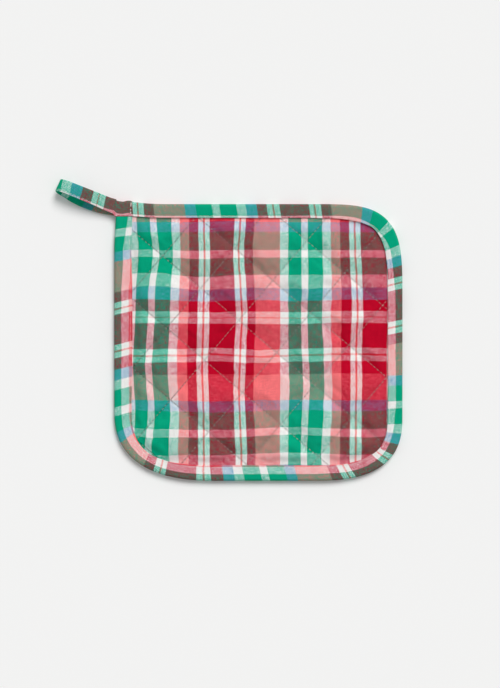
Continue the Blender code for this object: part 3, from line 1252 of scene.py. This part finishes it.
def quilting_places(pad):
    """Stitches along every sewn line, on both faces of the pad."""
    surface = BVHTree.FromObject(pad, bpy.context.evaluated_depsgraph_get())
    places = []
    for family in QUILT_LINES:
        across, spacing, offset = line_frame(family)
        run = Vector((across.y, -across.x))
        for line in range(-LINE_REACH, LINE_REACH + 1):
            start = across * (offset + spacing * line)
            steps = int(LINE_HALF_LENGTH / STITCH_PITCH)
            for step in range(-steps, steps + 1):
                slip = STITCH_SLIP * uneven(step * 0.83, line * 3.1)
                point = start + run * (step * STITCH_PITCH + slip)
                depth, _, width = PAD_EDGE.nearest(point)
                if depth < width + STRIP_GAP:
                    continue
                turned = run.to_3d() + Vector((STITCH_TURN * uneven(step * 1.7, line), 0.0, 0.0))
                sunk = TIGHT_SINK * smooth_step((TIGHT_SEWING_X - point.x) / TIGHT_SEWING_EASE)
                for side in (1.0, -1.0):
                    up = Vector((0.0, 0.0, side))
                    hit, _, _, _ = surface.ray_cast((point.to_3d() + up * RAY_HEIGHT) * MM, -up)
                    if hit is not None:
                        places.append(placed(hit / MM + up * (STITCH_LIFT - sunk), turned, up))
    return places


def edge_stitch_places(frames):
    """The row of stitches along the strip's inner edge, on both faces, and on round the loop."""
    places = []
    next_at = FIRST_EDGE_STITCH
    for before, here in zip(frames, frames[1:]):
        if here.length < next_at:
            continue
        next_at += STITCH_PITCH
        inset = here.width - STITCH_INSET
        for side in (1.0, -1.0):
            if here.length > EDGE_LENGTH and side < 0.0:
                continue
            height = side * (here.half - EDGE_STITCH_SINK)
            first = before.point(before.width - STITCH_INSET, height)
            second = here.point(inset, height)
            places.append(placed(second, second - first, here.out * side))
    return places


def tack_places():
    """The bar of stitches that holds the loop's end, across the top run."""
    places = []
    for x, y, stretch in TACK_BARS:
        for side in (-TACK_SPREAD, TACK_SPREAD):
            point = Vector((x + side, y, BINDING_HIGH.z - TACK_SINK))
            bar = placed(point, Vector((TACK_LEAN, 1.0, 0.0)), Vector((0.0, 0.0, 1.0)))
            places.append(bar @ Matrix.Diagonal((stretch, TACK_THICKNESS, TACK_THICKNESS, 1.0)))
    return places


# ================================================================ stage


def stage():
    bpy.ops.object.select_all(action="DESELECT")
    bpy.ops.mesh.primitive_plane_add(size=FLOOR_SIZE, location=(0.0, 0.0, -FLOOR_DROP))
    floor = bpy.context.object
    floor.name = "floor"
    paper = Finish("pale_paper", roughness=0.95, specular=0.1, sheen=0.0)
    paper.shader.inputs["Base Color"].default_value = (*PAPER, 1.0)
    floor.data.materials.append(paper.material)

    world = bpy.data.worlds.new("studio")
    world.use_nodes = True
    background = world.node_tree.nodes["Background"]
    background.inputs["Color"].default_value = (1.0, 1.0, 1.0, 1.0)
    background.inputs["Strength"].default_value = WORLD_STRENGTH
    bpy.context.scene.world = world

    softbox = bpy.data.lights.new("softbox", "SUN")
    softbox.energy = SOFTBOX_STRENGTH
    softbox.angle = math.radians(SOFTBOX_ANGLE)
    lamp = bpy.data.objects.new("softbox", softbox)
    lamp.rotation_euler = Vector(SOFTBOX_FROM).to_track_quat("Z", "Y").to_euler()
    bpy.context.scene.collection.objects.link(lamp)

    camera = bpy.data.cameras.new("camera")
    camera.lens = CAMERA_LENS
    camera.clip_end = CAMERA_REACH
    holder = bpy.data.objects.new("camera", camera)
    holder.location = CAMERA_PLACE
    bpy.context.scene.collection.objects.link(holder)
    bpy.context.scene.camera = holder
    bpy.context.scene.view_settings.view_transform = "Standard"


# ================================================================ the pot holder


panel_cloth = woven("plaid_cloth", WARP, WARP_START, WEFT[::-1], WEFT_START, PANEL_WARP_SHARE, quilted=True)
strip_cloth = woven("strip_cloth", WARP, 0.0, STRIP_CROSS, 0.0, STRIP_WARP_SHARE)
quilting_thread = thread_finish("quilting_thread", QUILTING_THREAD)
edge_thread = thread_finish("edge_thread", EDGE_THREAD)

pad = quilted_cloth(panel_cloth)
strip, strip_flat, strip_frames = edge_strip(strip_cloth)
pattern = stitch_pattern()
quilting = sew("quilting_stitches", pattern, quilting_places(pad), quilting_thread)
edging = sew("edge_stitches", pattern, edge_stitch_places(strip_frames), edge_thread)
tack = sew("loop_tack", pattern, tack_places(), edge_thread)
bpy.data.objects.remove(pattern)

for piece in (pad, strip, quilting, edging, tack):
    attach(piece, "root")
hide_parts("quilted_panel")
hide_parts("binding", "hanging_loop")

stage()
